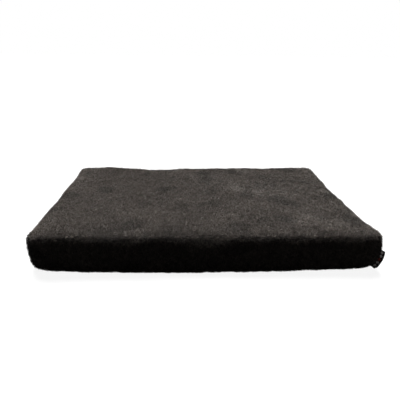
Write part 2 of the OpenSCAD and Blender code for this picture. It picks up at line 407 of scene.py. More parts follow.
def grid_normals(grid, outward):
    """Unit normals of a grid of points, on the side that outward points to at each of them."""
    n = np.cross(np.gradient(grid, axis=0), np.gradient(grid, axis=1))
    n /= np.maximum(np.linalg.norm(n, axis=-1), 1e-12)[..., None]
    return n if (n * outward).sum() > 0 else -n


def edge_distance(grid):
    """How far each point is from the nearest edge of its grid, over the surface."""
    du = np.linalg.norm(np.diff(grid, axis=0), axis=-1)
    dv = np.linalg.norm(np.diff(grid, axis=1), axis=-1)
    u = np.concatenate([np.zeros((1, grid.shape[1])), np.cumsum(du, axis=0)])
    v = np.concatenate([np.zeros((grid.shape[0], 1)), np.cumsum(dv, axis=1)], axis=1)
    return np.minimum(np.minimum(u, u[-1:] - u), np.minimum(v, v[:, -1:] - v))


def evenly(path, step):
    """Points at even steps along a path, and its direction at each."""
    far = np.concatenate([[0], np.cumsum(np.linalg.norm(np.diff(path, axis=0), axis=1))])
    at = np.arange(step / 2, far[-1], step)
    places = np.stack([np.interp(at, far, path[:, k]) for k in range(3)], axis=-1)
    return places, unit(np.gradient(places, axis=0))


def shell(name, outer, inner, faces):
    """A closed mesh from two matching layers of points, with a rim round every opening in the faces."""
    count = len(outer)
    start, end = faces.ravel(), np.roll(faces, -1, axis=1).ravel()
    free = ~np.isin(end * count + start, start * count + end)
    start, end = start[free], end[free]
    groups = [np.concatenate([faces, faces[:, ::-1] + count])]
    if len(start):
        groups.append(np.stack([end, start, start + count, end + count], axis=-1))
    return mesh_object(name, np.concatenate([outer, inner]), groups)


def closed_sheet(name, outer, inner):
    """A closed mesh with these two grids of points as its faces."""
    faces = grid_faces(outer.shape[:2])
    turn = np.cross(np.gradient(outer, axis=0), np.gradient(outer, axis=1))
    if (turn * (outer - inner)).sum() < 0:
        faces = faces[:, ::-1]
    return shell(name, outer.reshape(-1, 3), inner.reshape(-1, 3), faces)


def rounded_edge(distance, reach):
    """0 at an edge, 1 from reach inwards, round in between."""
    t = np.clip(distance / reach, 0, 1)
    return np.sqrt(1 - (1 - t) ** 2)


# ---- materials ----

def principled(name, color, roughness, metallic=0.0, sheen=0.0, sheen_color=(1, 1, 1), sheen_roughness=0.5,
               specular=0.5):
    """A material, with the handles that its detail is built on: (material, nodes, links, shader)."""
    m = bpy.data.materials.new(name)
    m.use_nodes = True
    nodes, links = m.node_tree.nodes, m.node_tree.links
    shader = nodes["Principled BSDF"]
    shader.inputs["Base Color"].default_value = (*color, 1)
    shader.inputs["Roughness"].default_value = roughness
    shader.inputs["Metallic"].default_value = metallic
    shader.inputs["Specular IOR Level"].default_value = specular
    shader.inputs["Sheen Weight"].default_value = sheen
    shader.inputs["Sheen Tint"].default_value = (*sheen_color, 1)
    shader.inputs["Sheen Roughness"].default_value = sheen_roughness
    return m, nodes, links, shader


def noise(nodes, links, size, detail=3.0, stretch=(1, 1, 1)):
    """A noise texture in the object's own space, with features of about that size in metres."""
    place = nodes.new("ShaderNodeTexCoord")
    mapping = nodes.new("ShaderNodeMapping")
    mapping.inputs["Scale"].default_value = [k / size for k in stretch]
    texture = nodes.new("ShaderNodeTexNoise")
    texture.inputs["Scale"].default_value = 1
    texture.inputs["Detail"].default_value = detail
    links.new(place.outputs["Object"], mapping.inputs["Vector"])
    links.new(mapping.outputs["Vector"], texture.inputs["Vector"])
    return texture.outputs["Fac"]


def ramp(nodes, links, value, *stops):
    """A colour ramp over a value. Each stop is (position, colour)."""
    r = nodes.new("ShaderNodeValToRGB")
    while len(r.color_ramp.elements) < len(stops):
        r.color_ramp.elements.new(0.5)
    for element, (position, color) in zip(r.color_ramp.elements, stops):
        element.position = position
        element.color = (*color, 1)
    links.new(value, r.inputs["Fac"])
    return r.outputs["Color"]


def bump(nodes, links, shader, height, distance, strength=1.0):
    b = nodes.new("ShaderNodeBump")
    b.inputs["Distance"].default_value = distance
    b.inputs["Strength"].default_value = strength
    links.new(height, b.inputs["Height"])
    links.new(b.outputs["Normal"], shader.inputs["Normal"])


def weave(nodes, links, pitch, axes=(0, 1)):
    """Height of a plain weave of that pitch over two axes of the object's space, 0 to 1."""
    place = nodes.new("ShaderNodeTexCoord")
    split = nodes.new("ShaderNodeSeparateXYZ")
    links.new(place.outputs["Object"], split.inputs["Vector"])
    sines = []
    for axis in axes:
        scaled = nodes.new("ShaderNodeMath")
        scaled.operation = "MULTIPLY"
        scaled.inputs[1].default_value = math.pi / pitch
        links.new(split.outputs[axis], scaled.inputs[0])
        sine = nodes.new("ShaderNodeMath")
        sine.operation = "SINE"
        links.new(scaled.outputs[0], sine.inputs[0])
        sines.append(sine.outputs[0])
    product = nodes.new("ShaderNodeMath")
    product.operation = "MULTIPLY"
    links.new(sines[0], product.inputs[0])
    links.new(sines[1], product.inputs[1])
    shifted = nodes.new("ShaderNodeMath")
    shifted.operation = "MULTIPLY_ADD"
    shifted.inputs[1].default_value = shifted.inputs[2].default_value = 0.5
    links.new(product.outputs[0], shifted.inputs[0])
    return shifted.outputs[0]


def woven(name, dark, light, roughness, pitch, axes=(0, 1), sheen=0.2):
    m, nodes, links, shader = principled(name, dark, roughness, sheen=sheen, sheen_roughness=0.4,
                                         specular=0.25)
    height = weave(nodes, links, pitch, axes)
    # Painted shade: the colour follows the weave's height, lighter on the crests and darker in the hollows
    # between the threads.
    links.new(ramp(nodes, links, height, (0.15, dark), (0.85, light)), shader.inputs["Base Color"])
    bump(nodes, links, shader, height, pitch * 0.25)
    return m


def plush_body():
    """The matted root of the pile: fine fibres that lie every way, in soft patches. Its near-black colour,
    darkest where the fibre bump is low, is painted shade deep between the locks, on top of their real shadow.
    """
    m, nodes, links, shader = principled("plush_body", PILE_TONES[0], 0.95, sheen=0.5,
                                         sheen_color=PILE_SHEEN, sheen_roughness=0.5, specular=0.05)
    fibres = noise(nodes, links, 1.3 * MM, 3)
    # Painted shade: the ramp starts at near black for the shade deep in the pile, and it follows the same
    # noise as the bump, so low places are darker.
    dark, light = PILE_TONES[0], tuple(c * 1.1 for c in PILE_TONES[2])
    links.new(ramp(nodes, links, fibres, (0.38, dark), (0.66, light)), shader.inputs["Base Color"])
    bump(nodes, links, shader, fibres, 2.5 * MM)
    return m


def foam(name, color):
    m, nodes, links, shader = principled(name, color, 0.9, sheen=0.1, specular=0.2)
    cells = noise(nodes, links, 1.2 * MM, 2)
    shadow = tuple(c * 0.7 for c in color)
    links.new(ramp(nodes, links, cells, (0.3, shadow), (0.6, color)), shader.inputs["Base Color"])
    bump(nodes, links, shader, cells, 0.5 * MM)
    return m


def metal(name, color, roughness):
    m, nodes, links, shader = principled(name, color, roughness, metallic=1.0)
    wear = noise(nodes, links, 2.5 * MM, 4)
    rough = ramp(nodes, links, wear, (0.3, (roughness * 0.75,) * 3), (0.7, (roughness * 1.3,) * 3))
    links.new(rough, shader.inputs["Roughness"])
    bump(nodes, links, shader, noise(nodes, links, 0.3 * MM, 2, (0.1, 1, 1)), 0.02 * MM)
    return m


def plastic(name, color, roughness):
    m, nodes, links, shader = principled(name, color, roughness)
    speckle = noise(nodes, links, 0.8 * MM, 2)
    links.new(ramp(nodes, links, speckle, (0.3, (roughness * 0.8,) * 3), (0.7, (roughness * 1.2,) * 3)),
              shader.inputs["Roughness"])
    bump(nodes, links, shader, speckle, 0.03 * MM)
    return m


# From the roots' colour to the palest tips. The roots' near black is painted shade, for the depth of the pile
# between the locks.
PILE_TONES = [(0.008, 0.0069, 0.0059), (0.018, 0.0154, 0.0133), (0.034, 0.0290, 0.0251),
              (0.058, 0.0493, 0.0425), (0.094, 0.0803, 0.0692)]
PILE_SHEEN = (0.62, 0.55, 0.50)

plush_mat = plush_body()
pile_mats = [principled(f"pile_{i}", tone, 0.7, sheen=0.35, sheen_color=PILE_SHEEN, specular=0.15)[0]
             for i, tone in enumerate(PILE_TONES)]
# Each woven cloth below goes from its dark colour in the weave's hollows to its light one on the crests,
# which is painted shade.
base_mat = woven("base_fabric", (0.008, 0.008, 0.009), (0.03, 0.03, 0.033), 0.8, 1.6 * MM)
tape_mat = woven("zip_tape", (0.006, 0.006, 0.007), (0.022, 0.022, 0.024), 0.75, 0.7 * MM, (0, 2))
label_mat = woven("label_satin", (0.006, 0.006, 0.006), (0.02, 0.02, 0.021), 0.42, 0.5 * MM, (0, 2), 0.3)
liner_mat = woven("liner_fabric", (0.55, 0.53, 0.5), (0.72, 0.7, 0.66), 0.6, 0.9 * MM)
care_mat = woven("care_cloth", (0.72, 0.72, 0.7), (0.88, 0.88, 0.86), 0.5, 0.5 * MM, (0, 2))
soft_foam_mat = foam("soft_foam", (0.82, 0.76, 0.5))
firm_foam_mat = foam("firm_foam", (0.5, 0.56, 0.62))
coil_mat = plastic("zip_coil", (0.014, 0.014, 0.015), 0.4)
dot_mat = plastic("grip_dots", (0.02, 0.02, 0.021), 0.55)
thread_mat = plastic("thread", (0.018, 0.017, 0.016), 0.6)
metal_mat = metal("zip_metal", (0.3, 0.3, 0.31), 0.34)
motif_light_mat = woven("label_motif_light", (0.8, 0.74, 0.72), (0.95, 0.9, 0.87), 0.6, 0.5 * MM, (0, 2))
motif_red_mat = woven("label_motif_red", (0.3, 0.04, 0.035), (0.5, 0.1, 0.08), 0.6, 0.5 * MM, (0, 2))


def finish_piece(obj, body, slot, *mats, replaces=()):
    """Gives a piece its materials and its CAD body, and hides the nodes that it stands for. Its slot is not
    used.
    """
    obj.data.materials.clear()
    for m in mats:
        obj.data.materials.append(m)
    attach(obj, body)
    if replaces:
        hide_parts(*replaces)
    return obj


# ---- the cover's panels ----

def outward_of(grid):
    """Roughly the way out of the cushion at each point: away from a flat block inside it."""
    inside = np.stack([np.clip(grid[..., 0], -HALF_W + 0.06, HALF_W - 0.06),
                       np.clip(grid[..., 1], -HALF_L + 0.06, HALF_L - 0.06),
                       np.full(grid.shape[:-1], HEIGHT / 2)], axis=-1)
    return grid - inside


def plush_panel(name, grid, node):
    """A closed sheet of plush backing, thin at its seams. Returns its outer face's points and normals."""
    n = grid_normals(grid, outward_of(grid))
    thick = PILE_BODY * rounded_edge(edge_distance(grid), 3 * MM)
    relief = 1 + 0.35 * waves(grid, 14 * MM, 21)
    outer = grid + n * (thick * relief + 0.2 * MM)[..., None]
    inner = grid - n * 1.0 * MM
    outer[..., 2] = np.maximum(outer[..., 2], 0.3 * MM)
    inner[..., 2] = np.maximum(inner[..., 2], 0.9 * MM)
    panel = closed_sheet(name, outer, inner)
    finish_piece(panel, "cushion", "plush", plush_mat, replaces=[node])
    return outer, n


def zip_distance(points):
    """How far points on the back are from the gap that shows the zip."""
    up = np.maximum(np.abs(points[..., 2] - ZIP_Z) - (GAP_HIGH - GAP_LOW) / 2, 0)
    along = np.maximum(np.abs(points[..., 0]) - ZIP_HALF, 0)
    return np.where(points[..., 1] > 0, np.hypot(up, along), 1.0)


def to_tape(grid):
    """Brings a strip's edge down onto the zip's tape, where it is sewn."""
    sewn = 1 - smooth_step(zip_distance(grid) / (11 * MM))
    lowered = grid.copy()
    lowered[..., 1] += (TAPE_FACE + 1.3 * MM - grid[..., 1]) * sewn
    return lowered


def cut_back():
    """The back of the skin in four: above and below the zip, and the two tabs at its ends."""
    back = refine(skin["back"])
    cells_u, cells_v = back.shape[0] - 1, back.shape[1] - 1
    u = np.arange(cells_u + 1)
    high, low = crossing(back, 2, GAP_HIGH, 1), crossing(back, 2, GAP_LOW, 1)
    strips = {}
    for name, start, end, rows in (("upper", 0 * high, high, 12), ("lower", low, 0 * low + cells_v, 14)):
        t = np.linspace(0, 1, rows)[None, :]
        v = start[:, None] * (1 - t) + end[:, None] * t
        strips[name] = to_tape(sample(back, u[:, None] + 0 * t, v))
    tab_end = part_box("zip_end_tab_right")[0].x - 3 * MM
    for name, x, last in (("tab_left", -tab_end, 0), ("tab_right", tab_end, cells_u)):
        start = np.median(crossing(back, 0, x, 0))
        ends = np.linspace(start, last, 14)
        t = np.linspace(0, 1, 5)[None, :]
        top, bottom = np.interp(ends, u, high)[:, None], np.interp(ends, u, low)[:, None]
        strips[name] = to_tape(sample(back, ends[:, None] + 0 * t, top * (1 - t) + bottom * t))
    return strips


back = cut_back()
planted = {
    "top": plush_panel("top_panel_plush", refine(skin["top"]), "top_panel"),
    "front": plush_panel("front_panel_plush", refine(skin["front"]), "front_panel"),
    "left": plush_panel("left_panel_plush", refine(skin["left"]), "left_panel"),
    "right": plush_panel("right_panel_plush", refine(skin["right"]), "right_panel"),
    "back_upper": plush_panel("back_upper_plush", back["upper"], "back_upper_panel"),
    "back_lower": plush_panel("back_lower_plush", back["lower"], "back_lower_panel"),
    "tab_left": plush_panel("zip_end_tab_left_plush", back["tab_left"], "zip_end_tab_left"),
    "tab_right": plush_panel("zip_end_tab_right_plush", back["tab_right"], "zip_end_tab_right"),
}


# ---- pile ----

LOCKS_PER_MM2 = 0.25      # locks of pile, each a few fibres lying together
LOCK_WIDTH = 1.15 * MM
LOCKS_PER_PIECE = 19000


def plant(grid, normal, density, seed):
    """Random places over a grid of points, evenly by area: the generator, the roots and their normals."""
    rng = np.random.default_rng(seed)
    a, b, c = grid[1:, :-1] - grid[:-1, :-1], grid[:-1, 1:] - grid[:-1, :-1], grid[1:, 1:] - grid[:-1, :-1]
    area = np.linalg.norm(np.cross(a, c), axis=-1) / 2 + np.linalg.norm(np.cross(b, c), axis=-1) / 2
    count = int(area.sum() / MM ** 2 * density)
    cell = rng.choice(area.size, count, p=(area / area.sum()).ravel())
    u = cell // area.shape[1] + rng.random(count)
    v = cell % area.shape[1] + rng.random(count)
    clear = zip_distance(sample(grid, u, v)) > 1.5 * MM
    u, v = u[clear], v[clear]
    return rng, sample(grid, u, v), unit(sample(normal, u, v))


def locks(rng, root, n, comb):
    """Closed three-sided spikes that lean along comb: points (count, 7, 3)."""
    count = len(root)
    length = PILE_LENGTH * rng.uniform(0.72, 1.12, count) * (1 + 0.12 * waves(root, 25 * MM, 31))
    length *= 0.4 + 0.6 * smooth_step(root[:, 2] / (26 * MM))
    length *= 0.25 + 0.75 * smooth_step(zip_distance(root) / (15 * MM))
    width = LOCK_WIDTH * rng.uniform(0.7, 1.25, count)
    lean = 0.8 + 0.12 * waves(root, 110 * MM, 32) + rng.normal(0, 0.12, count)
    stray = rng.normal(0, 0.22, (count, 3))
    lower = unit(n + comb * (0.45 * lean)[:, None] + stray)
    upper = unit(0.45 * n + comb * (1.0 * lean)[:, None] + 1.5 * stray)
    middle = root + lower * (0.5 * length)[:, None]
    tip = middle + upper * (0.5 * length)[:, None]
    side = unit(np.cross(lower, comb + 0.01))
    other = np.cross(lower, side)
    points = np.empty((count, 7, 3))
    first = rng.uniform(0, 2 * math.pi, count)
    for k in range(3):
        turn = first + 2 * math.pi * k / 3
        spread = side * np.cos(turn)[:, None] + other * np.sin(turn)[:, None]
        points[:, k] = root - lower * 0.6 * MM + spread * (0.5 * width)[:, None]
        points[:, 3 + k] = middle + spread * (0.36 * width)[:, None]
    points[:, 6] = tip
    points[..., 2] = np.maximum(points[..., 2], 0.25 * MM)
    return points


LOCK_QUADS = ring_quads(2, 3)
LOCK_TRIANGLES = np.array([[3, 4, 6], [4, 5, 6], [5, 3, 6], [0, 2, 1]])


def grow(name, grid, normal, seed, comb_towards, density=LOCKS_PER_MM2):
    """Pile over one panel, in as many pieces as it takes."""
    rng, root, n = plant(grid, normal, density, seed)
    swirl = 0.3 * waves(root, 160 * MM, 41) + 0.3 * waves(root, 35 * MM, 42)
    towards = np.asarray(comb_towards, float)
    wanted = unit(towards - n * (n @ towards)[:, None])
    crosswise = np.cross(n, wanted)
    comb = wanted * np.cos(swirl)[:, None] + crosswise * np.sin(swirl)[:, None]
    pile_pieces(name, rng, root, locks(rng, root, n, comb))


def tones(rng, root):
    """Which of the pile's tones each lock has: mottled all over, with a few soft dark patches of painted
    shade, where the pile would lie another way and catch less light.
    """
    # Painted shade: these soft dark patches stand in for pile lying another way and catching less light. They
    # are not a darker colour of the fibres.
    dark = smooth_step((waves(root, 50 * MM, 53) - 0.45) / 0.8)
    broad, fine = 0.35 * waves(root, 95 * MM, 51), 0.45 * waves(root, 16 * MM, 52)
    grain = 0.9 * waves(root, 7 * MM, 54) + rng.normal(0, 0.8, len(root))
    tone = 2.55 + broad + fine + grain - 2.2 * dark
    return np.clip(np.round(tone), 0, len(PILE_TONES) - 1).astype(int)


def pile_pieces(name, rng, root, points):
    """Makes locks into objects, few enough in each."""
    tone = tones(rng, root)
    order = np.argsort(root[:, 0], kind="stable")
    pieces = max(1, math.ceil(len(order) / LOCKS_PER_PIECE))
    for i, part in enumerate(np.array_split(order, pieces)):
        start = (np.arange(len(part)) * 7)[:, None, None]
        faces = [(start + LOCK_QUADS).reshape(-1, 4), (start + LOCK_TRIANGLES).reshape(-1, 3)]
        label = f"{name}_pile_{i + 1}" if pieces > 1 else f"{name}_pile"
        obj = mesh_object(label, points[part].reshape(-1, 3), faces)
        finish_piece(obj, "cushion", "plush", *pile_mats)
        chosen = np.concatenate([np.repeat(tone[part], 3), np.repeat(tone[part], 4)])
        obj.data.polygons.foreach_set("material_index", chosen.astype(np.int32))


DOWN = (0.15, 0.1, -1)
for seed, (name, (grid, normal)) in enumerate(planted.items()):
    grow(name, grid, normal, 100 + seed, (0.35, -1, 0) if name == "top" else DOWN)


def cover_seams():
    """Locks that stand straight out along the seams and close the pile over them."""
    rng = np.random.default_rng(120)
    top, front, back_grid = skin["top"], skin["front"], skin["back"]
    paths = [refine_rows(p, 3) for p in (top[0], top[-1], top[:, 0], top[:, -1], front[0], front[-1],
                                         back_grid[0], back_grid[-1])]
    root, ahead = (np.concatenate(a) for a in zip(*(evenly(p, 0.42 * MM) for p in paths)))
    kept = zip_distance(root) > 2 * MM
    root, ahead = root[kept], ahead[kept]
    n = unit(outward_of(root))
    root = root + np.cross(ahead, n) * rng.normal(0, 1.6 * MM, len(root))[:, None] + n * 1.2 * MM
    comb = unit(rng.normal(0, 1, (len(root), 3)) + np.asarray(DOWN) * 0.8)
    pile_pieces("seams", rng, root, locks(rng, root, n, comb))


cover_seams()


# ---- small things that repeat: threads, wires and slabs ----

def tube(points, radius, across, sides=5):
    """Points and faces of a wire along a path. across is a direction that the path never follows."""
    ahead = unit(np.gradient(points, axis=0))
    right = unit(np.cross(ahead, across))
    up = np.cross(right, ahead)
    turn = 2 * math.pi * np.arange(sides) / sides
    spokes = right[:, None] * np.cos(turn)[:, None] + up[:, None] * np.sin(turn)[:, None]
    rings = points[:, None] + radius * spokes
    last = (len(points) - 1) * sides
    fan = np.arange(1, sides - 1)
    ends = np.concatenate([np.stack([0 * fan, fan + 1, fan], axis=-1),
                           np.stack([last + 0 * fan, last + fan, last + fan + 1], axis=-1)])
    return rings.reshape(-1, 3), [ring_quads(len(points), sides), ends]


STITCH_QUADS = ring_quads(3, 4)
STITCH_ENDS = np.array([[12, (k + 1) % 4, k] for k in range(4)]
                       + [[13, 8 + k, 8 + (k + 1) % 4] for k in range(4)])


def stitches(name, paths, out, length, step, radius, slot, mat=None):
    """Stitches along each path: short threads whose ends dip into the cloth. out is the cloth's normal."""
    places, ahead = (np.concatenate(a) for a in zip(*(evenly(np.asarray(p, float), step) for p in paths)))
    out = np.broadcast_to(np.asarray(out, float), places.shape)
    side = unit(np.cross(ahead, out))
    points = np.empty((len(places), 14, 3))
    for r, t in enumerate((-0.6, 0, 0.6)):
        centre = places + ahead * (t * length / 2) + out * (radius * (0.55 - 0.9 * t * t))
        for k in range(4):
            turn = math.pi / 4 + math.pi / 2 * k
            points[:, 4 * r + k] = centre + radius * (side * math.cos(turn) + out * math.sin(turn))
    points[:, 12] = places - ahead * (length / 2) - out * 0.8 * radius
    points[:, 13] = places + ahead * (length / 2) - out * 0.8 * radius
    start = (np.arange(len(places)) * 14)[:, None, None]
    obj = mesh_object(name, points.reshape(-1, 3),
                      [(start + STITCH_QUADS).reshape(-1, 4), (start + STITCH_ENDS).reshape(-1, 3)])
    return finish_piece(obj, "cushion", slot, mat or thread_mat)


def slab(name, low, high, corner, edge, bow):
    """A block with round upright corners and round edges, its flat faces bowed by this much."""
    steps = 8
    per_side = 24
    half = (np.asarray(high) - np.asarray(low)) / 2
    centre = (np.asarray(high) + np.asarray(low)) / 2
    quarters = np.arange(4) * math.pi / 2
    turn = np.concatenate([np.linspace(q, q + math.pi / 2, steps + 1) for q in quarters])
    sign = np.repeat([(1, 1), (-1, 1), (-1, -1), (1, -1)], steps + 1, axis=0)
    corners = sign * (half[:2] - corner) + corner * np.stack([np.cos(turn), np.sin(turn)], axis=-1)
    share = np.arange(1, per_side)[:, None] / per_side
    runs = []
    for q in range(4):
        here, there = corners[q * (steps + 1) + steps], corners[(q + 1) * (steps + 1) % len(corners)]
        runs += [corners[q * (steps + 1):(q + 1) * (steps + 1)], here + (there - here) * share]
    plan = np.concatenate(runs)
    bend = np.linspace(0, math.pi / 2, 6)
    upper = [(k, edge * (k > 0.9), half[2]) for k in (0.1, 0.25, 0.4, 0.55, 0.7, 0.8, 0.9, 0.97)]
    upper += [(1, edge * (1 - math.sin(b)), half[2] - edge * (1 - math.cos(b))) for b in bend]
    rows = upper + [(k, inset_by, -z) for k, inset_by, z in upper[::-1]]
    out = unit(plan - np.clip(plan, corner - half[:2], half[:2] - corner))
    rings = []
    for k, inset_by, z in rows:
        flat = plan * k - out * inset_by
        swell = bow * (1 - (np.abs(flat) / half[:2]) ** 2).clip(0).prod(axis=1) * (z / half[2])
        rings.append(np.column_stack([flat, z + swell]))
    points = np.concatenate(rings) + centre
    around = len(plan)
    k = np.arange(around)
    top, bottom = len(points), len(points) + 1
    last = (len(rows) - 1) * around
    fans = np.concatenate([np.stack([0 * k + top, k, (k + 1) % around], axis=-1),
                           np.stack([0 * k + bottom, last + (k + 1) % around, last + k], axis=-1)])
    middle = [centre + (0, 0, half[2] + bow), centre - (0, 0, half[2] + bow)]
    quads = ring_quads(len(rows), around)[:, [0, 3, 2, 1]]
    return mesh_object(name, np.concatenate([points, middle]), [quads, fans])


# ---- base ----

def make_base():
    grid = refine(skin["base"])
    grid[..., 2] = 0
    base = closed_sheet("base_panel_fabric", grid + (0, 0, 0.5 * MM), grid + (0, 0, 1.3 * MM))
    finish_piece(base, "cushion", "base_fabric", base_mat, replaces=["base_panel"])
    rims = [grid[0], grid[-1], grid[:, 0], grid[:, -1]]
    paths = [(rim * (0.985, 0.98, 0))[4:-4] + (0, 0, 0.5 * MM) for rim in rims]
    stitches("base_topstitch", paths, (0, 0, -1), 3 * MM, 4 * MM, 0.25 * MM, "base_fabric")
    grip_dots()


def grip_dots():
    """Low domes in a staggered pattern under the base: what the cushion stands on."""
    pitch = 14 * MM
    margin = 30 * MM
    places = []
    rows = int((BASE_L - margin) / (pitch * 0.866))
    for row in range(-rows, rows + 1):
        shift = pitch / 2 * (row % 2)
        count = int((BASE_W - margin) / pitch)
        places += [(i * pitch + shift, row * pitch * 0.866) for i in range(-count, count)]
    places = np.array(places)
    sides = 8
    turn = 2 * math.pi * np.arange(sides) / sides
    circle = np.stack([np.cos(turn), np.sin(turn)], axis=-1)
    rings = [(2.4 * MM, 0.7 * MM), (1.9 * MM, 0.2 * MM), (1.0 * MM, 0.0)]
    points = np.empty((len(places), 3 * sides, 3))
    for r, (radius, z) in enumerate(rings):
        points[:, r * sides:(r + 1) * sides, :2] = places[:, None] + radius * circle
        points[:, r * sides:(r + 1) * sides, 2] = z
    quads = ring_quads(3, sides)[:, [0, 3, 2, 1]]
    fan = np.arange(1, sides - 1)
    caps = np.concatenate([np.stack([0 * fan, fan, fan + 1], axis=-1),
                           np.stack([2 * sides + 0 * fan, 2 * sides + fan + 1, 2 * sides + fan], axis=-1)])
    start = (np.arange(len(places)) * 3 * sides)[:, None, None]
    dots = mesh_object("base_grip_dots", points.reshape(-1, 3),
                       [(start + quads).reshape(-1, 4), (start + caps).reshape(-1, 3)])
    finish_piece(dots, "cushion", "base_fabric", dot_mat)


make_base()


# ---- zip ----

COIL_PITCH = 1.7 * MM
COIL_WIRE = 0.36 * MM
COIL_APART = 0.35 * MM    # from the zip's centre line to each coil


def make_tape(side, node):
    low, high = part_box(node)
    x = np.linspace(low.x, high.x, 220)
    z = np.linspace(low.z, high.z, 9)
    xx, zz = np.meshgrid(x, z, indexing="ij")
    ripple = 0.12 * MM * np.sin(xx / (9 * MM)) * (np.abs(zz - ZIP_Z) / (16 * MM)) ** 2
    face = np.stack([xx, TAPE_FACE + ripple, zz], axis=-1)
    tape = closed_sheet(f"{node}_webbing", face, face - (0, TAPE_FACE - TAPE_BACK, 0))
    finish_piece(tape, "cushion", "zip_tape", tape_mat, replaces=[node])
    start, end = low.x + 3 * MM, high.x - 3 * MM
    heights = [ZIP_Z + side * at for at in (4.9 * MM, 6.2 * MM)]
    rows = [[(start, TAPE_FACE, z), (end, TAPE_FACE, z)] for z in heights]
    stitches(f"{node}_stitches", rows, (0, 1, 0), 1.9 * MM, 2.4 * MM, 0.16 * MM, "zip_tape")


def make_coil(side, node):
    """One row of teeth: a wire wound into a flattened coil, half a pitch away from the other's."""
    low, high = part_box(node)
    turns = int((high.x - low.x - 2 * MM) / COIL_PITCH)
    t = np.arange(turns * 12 + 1) / 12
    far = high.z - ZIP_Z if side > 0 else ZIP_Z - low.z
    reach = (far - COIL_APART) / 2 - COIL_WIRE
    depth = (high.y - low.y) / 2 - COIL_WIRE
    angle = 2 * math.pi * t
    lean = 0.22 * COIL_PITCH * np.cos(angle)
    path = np.stack([low.x + 1 * MM + COIL_PITCH * (t + (0 if side > 0 else 0.5)) + lean,
                     (low.y + high.y) / 2 + depth * np.sin(angle),
                     ZIP_Z + side * (COIL_APART + COIL_WIRE + reach - reach * np.cos(angle))], axis=-1)
    points, faces = tube(path, COIL_WIRE, (1, 0, 0))
    coil = mesh_object(f"{node}_teeth", points, faces)
    finish_piece(coil, "cushion", "zip_coil", coil_mat, replaces=[node])


for side, end in ((1, "upper"), (-1, "lower")):
    make_tape(side, f"zip_tape_{end}")
    make_coil(side, f"zip_coil_{end}")


def metal_node(name, edge):
    """A CAD node that keeps its shape, with metal on it and its edges broken."""
    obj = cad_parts[name]
    for slot in obj.material_slots:
        slot.material = metal_mat
    bevel = obj.modifiers.new("edges", "BEVEL")
    bevel.width = edge
    bevel.segments = 2
    bevel.limit_method = "ANGLE"
    bevel.angle_limit = math.radians(40)


for name, edge in (("zip_slider", 0.35 * MM), ("zip_pull", 0.4 * MM), ("zip_top_stops", 0.4 * MM),
                   ("zip_bottom_stop", 0.4 * MM)):
    metal_node(name, edge)


# ---- inside ----

LINER_CLEAR = 3 * MM      # from the skin's middle to the liner
LINER_THICK = 0.8 * MM


def make_liner():
    """A sewn bag just inside the cover, open along the back where the foam goes in."""
    outer = skin_points - skin_normals * LINER_CLEAR
    inner = skin_points - skin_normals * (LINER_CLEAR + LINER_THICK)
    outer[:, 1] = np.minimum(outer[:, 1], LINER_BACK)
    inner[:, 1] = np.minimum(inner[:, 1], LINER_BACK - LINER_THICK)
    outer[:, 2] = np.maximum(outer[:, 2], 3.4 * MM)
    inner[:, 2] = np.maximum(inner[:, 2], 3.4 * MM + LINER_THICK)
    mouth = np.zeros(len(outer), bool)
    back_index = skin_index["back"]
    rest = grids["back"]
    inside = (np.abs(rest[..., 2] - ZIP_Z) < 15 * MM) & (np.abs(rest[..., 0]) < ZIP_HALF - 38 * MM)
    mouth[back_index[inside]] = True
    kept = skin_faces[~mouth[skin_faces].all(axis=1)]
    liner = shell("inner_liner_bag", outer, inner, kept)
    finish_piece(liner, "cushion", "liner_fabric", liner_mat, replaces=["inner_liner"])


def fit_inside(obj, clear):
    """Presses a block in where it would reach the liner, as the cover does."""
    inside = skin_points - skin_normals * (LINER_CLEAR + LINER_THICK + clear)
    inside[:, 1] = np.minimum(inside[:, 1], LINER_BACK - LINER_THICK - clear)
    room = BVHTree.FromPolygons(inside.tolist(), skin_faces.tolist())
    points = coordinates(obj.data)
    for i, p in enumerate(points):
        nearest, out, _, _ = room.find_nearest(p)
        beyond = (Vector(p) - nearest).dot(out)
        if beyond > 0:
            points[i] = nearest
    points[:, 2] = np.maximum(points[:, 2], 5 * MM)
    obj.data.vertices.foreach_set("co", points.astype(np.float32).ravel())
    obj.data.update()


def make_foam(node, mat):
    low, high = (np.array(c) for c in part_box(node))
    is_upper = node == "comfort_foam"
    low[2] += 0.8 * MM if is_upper else 0
    high[2] -= 0 if is_upper else 0.8 * MM
    side = np.array([3.5, 3.5, 0]) * MM
    edge = (14 if is_upper else 8) * MM
    block = slab(f"{node}_block", low + side, high - side, 50 * MM, edge, 0.5 * MM)
    fit_inside(block, 1.8 * MM)
    finish_piece(block, "cushion", "soft_foam" if is_upper else "firm_foam", mat, replaces=[node])


make_liner()
make_foam("comfort_foam", soft_foam_mat)
make_foam("support_foam", firm_foam_mat)


# ---- labels ----

LABEL_OUT = 20 * MM
LABEL_SEWN_IN = 1.5 * MM
LABEL_DROOP = 6 * MM      # how far its folded edge hangs below the seam, at its top
LABEL_HANG = 10 * MM      # and at its foot
LABEL_LOW = 11.5 * MM
LABEL_HIGH = 70 * MM
LABEL_CLOTH = 0.45 * MM
LABEL_FOLD = 0.45 * MM    # radius of the fold, at the middle of the cloth


def corner_seam(z):
    """The front right corner's seam at these heights, from the simulated skin."""
    seam = skin["front"][-1][::-1]
    return np.stack([np.interp(z, seam[:, 2], seam[:, k]) for k in range(3)], axis=-1)


